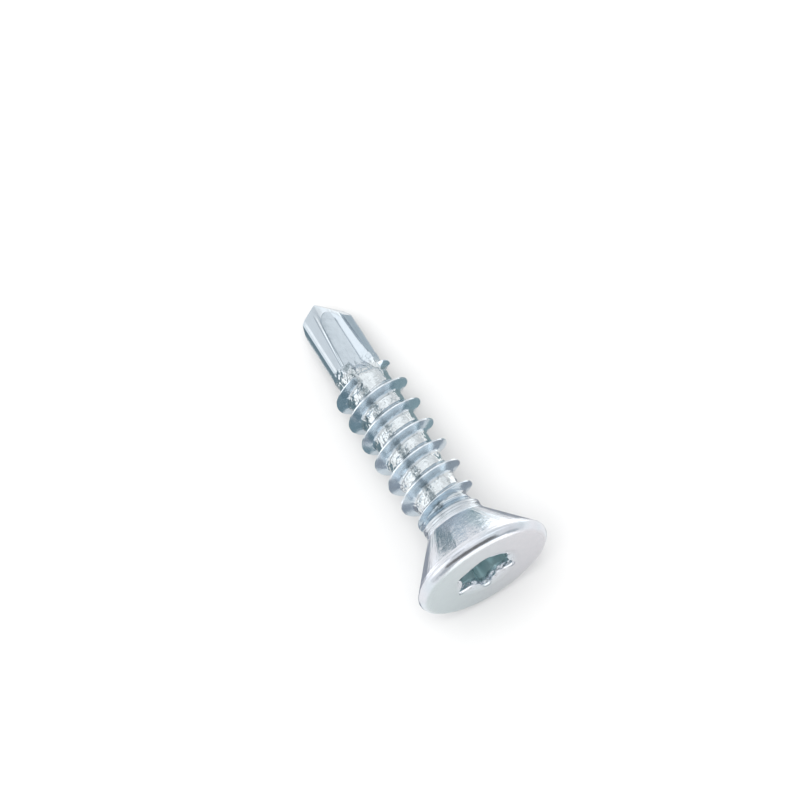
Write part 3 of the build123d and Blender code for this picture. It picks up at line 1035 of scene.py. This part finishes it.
def makeSky():
    world = bpy.data.worlds.new("studio")
    bpy.context.scene.world = world
    world.use_nodes = True
    board = Board(world.node_tree)
    background = world.node_tree.nodes["Background"]
    towards = board.node("ShaderNodeTexCoord").outputs["Generated"]
    light = board.node("ShaderNodeRGB").outputs[0]
    light.default_value = (*studio["skyColour"], 1)
    for direction, inner, outer, strength, colour in studio["patches"].values():
        dot = board.node("ShaderNodeVectorMath", operation="DOT_PRODUCT")
        board.join(towards, dot.inputs[0])
        dot.inputs[1].default_value = Vector(direction).normalized()
        inside = board.ramp(dot.outputs["Value"], cos(radians(outer)), cos(radians(inner)))
        patch = board.node("ShaderNodeVectorMath", operation="SCALE")
        patch.inputs[0].default_value = [part * strength for part in colour]
        board.join(inside, patch.inputs["Scale"])
        total = board.node("ShaderNodeVectorMath", operation="ADD")
        board.join(light, total.inputs[0])
        board.join(patch.outputs[0], total.inputs[1])
        light = total.outputs[0]
    floored = board.node("ShaderNodeVectorMath", operation="MAXIMUM")
    board.join(light, floored.inputs[0])
    board.join(floored.outputs[0], background.inputs["Color"])
    background.inputs["Strength"].default_value = studio["skyStrength"]


def makeFill():  # lights the floor and throws the soft shadow, and isn't mirrored
    light = bpy.data.lights.new("fill", "AREA")
    light.shape = "DISK"
    light.size = 0.5
    light.energy = studio["fill"]
    lamp = bpy.data.objects.new("fill", light)
    lamp.location = (0.05, 0.1, 0.5)
    lamp.rotation_euler = (-lamp.location).to_track_quat("-Z", "Y").to_euler()
    lamp.visible_glossy = False
    bpy.context.scene.collection.objects.link(lamp)


camera = {
    "towards": (-0.1746, 0.0986, 0.9797),
    "right": (-0.5177, -0.8556, -0.0061),
    "distance": 0.350,
    "pixelsPerMillimetre": 18.68,
    "framePixels": 800,
    "sensor": 36.0,
    "faceAt": (486.8, 573.0),   # where the head's face centre stands in the frame
}


def makeCamera(faceCentre):
    towards = Vector(camera["towards"]).normalized()
    right = Vector(camera["right"])
    up = towards.cross(right).normalized()
    scale = camera["pixelsPerMillimetre"]
    middle = camera["framePixels"] / 2
    shiftRight = (camera["faceAt"][0] - middle) / scale * millimetre
    shiftUp = (middle - camera["faceAt"][1]) / scale * millimetre
    place = faceCentre + towards * camera["distance"]
    aim = faceCentre - right * shiftRight - up * shiftUp
    back = (place - aim).normalized()
    right = (right - back * right.dot(back)).normalized()
    data = bpy.data.cameras.new("camera")
    data.sensor_width = camera["sensor"]
    data.lens = (camera["sensor"] * scale * camera["distance"]
                 / millimetre / camera["framePixels"])
    data.clip_start, data.clip_end = 0.01, 5
    eye = bpy.data.objects.new("camera", data)
    eye.matrix_world = Matrix.Translation(place) @ Matrix(
        (right, back.cross(right), back)).transposed().to_4x4()
    bpy.context.scene.collection.objects.link(eye)
    bpy.context.scene.camera = eye


print("studio")
makeFloor()
for name, place in studio["cards"].items():
    makeCard(name, *place)
makeSky()
makeFill()
makeCamera(faceCentre)
bpy.context.scene.view_settings.view_transform = "Standard"
